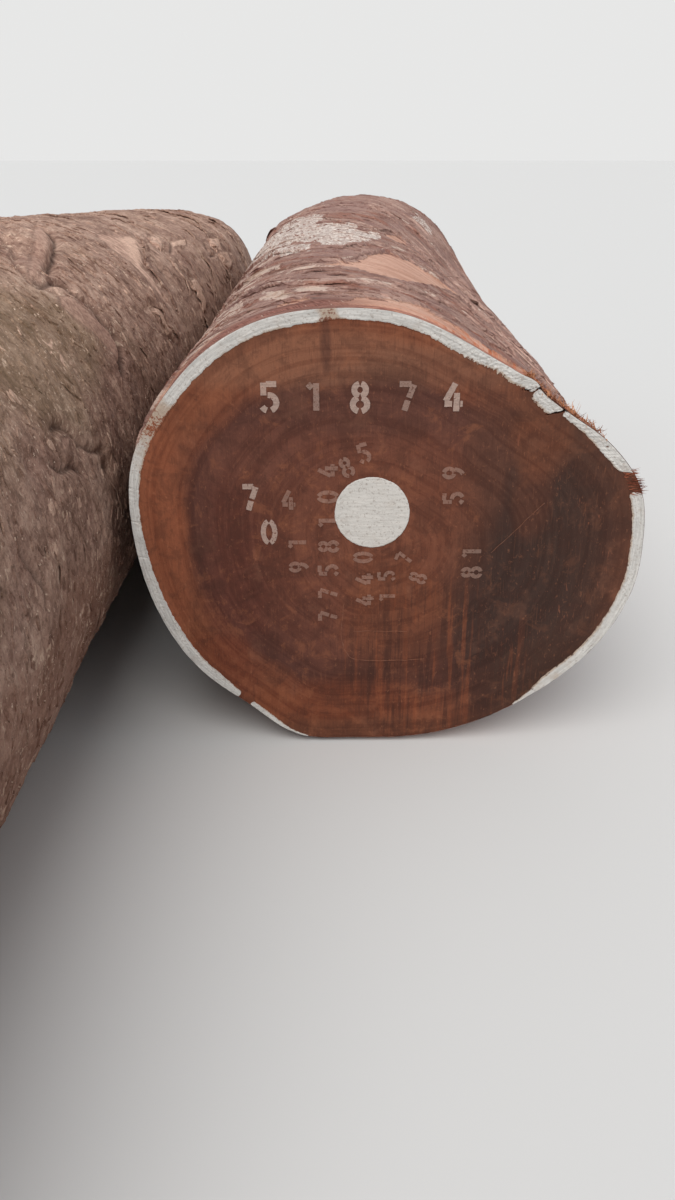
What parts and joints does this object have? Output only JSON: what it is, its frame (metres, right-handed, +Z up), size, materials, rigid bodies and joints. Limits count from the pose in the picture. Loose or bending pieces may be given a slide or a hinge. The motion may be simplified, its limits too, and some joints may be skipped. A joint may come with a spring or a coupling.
{
  "type": "stack of logs",
  "caption": "Round tropical hardwood sawlogs lying side by side and touching, flaky bark on, ends crosscut, with a painted rim and disc on the marked end.",
  "frame": {"origin": "on the ground, under the centre of the pair's bounding box", "axes": "+Y along the logs, away from the marked end; +X to the right of someone who faces the marked end; +Z up"},
  "size_m": [2.6384, 6, 1.3081],
  "materials": {
    "bark_right": "flaky reddish brown bark, matt",
    "bark_left": "weathered dark brown bark, matt",
    "sawn_wood": "rough crosscut reddish brown heartwood, matt",
    "white_paint": "white end paint brushed on wood, matt"
  },
  "bodies": {
    "root": {"left_log": "bark_left", "right_log": "bark_right"}
  },
  "joints": []
}
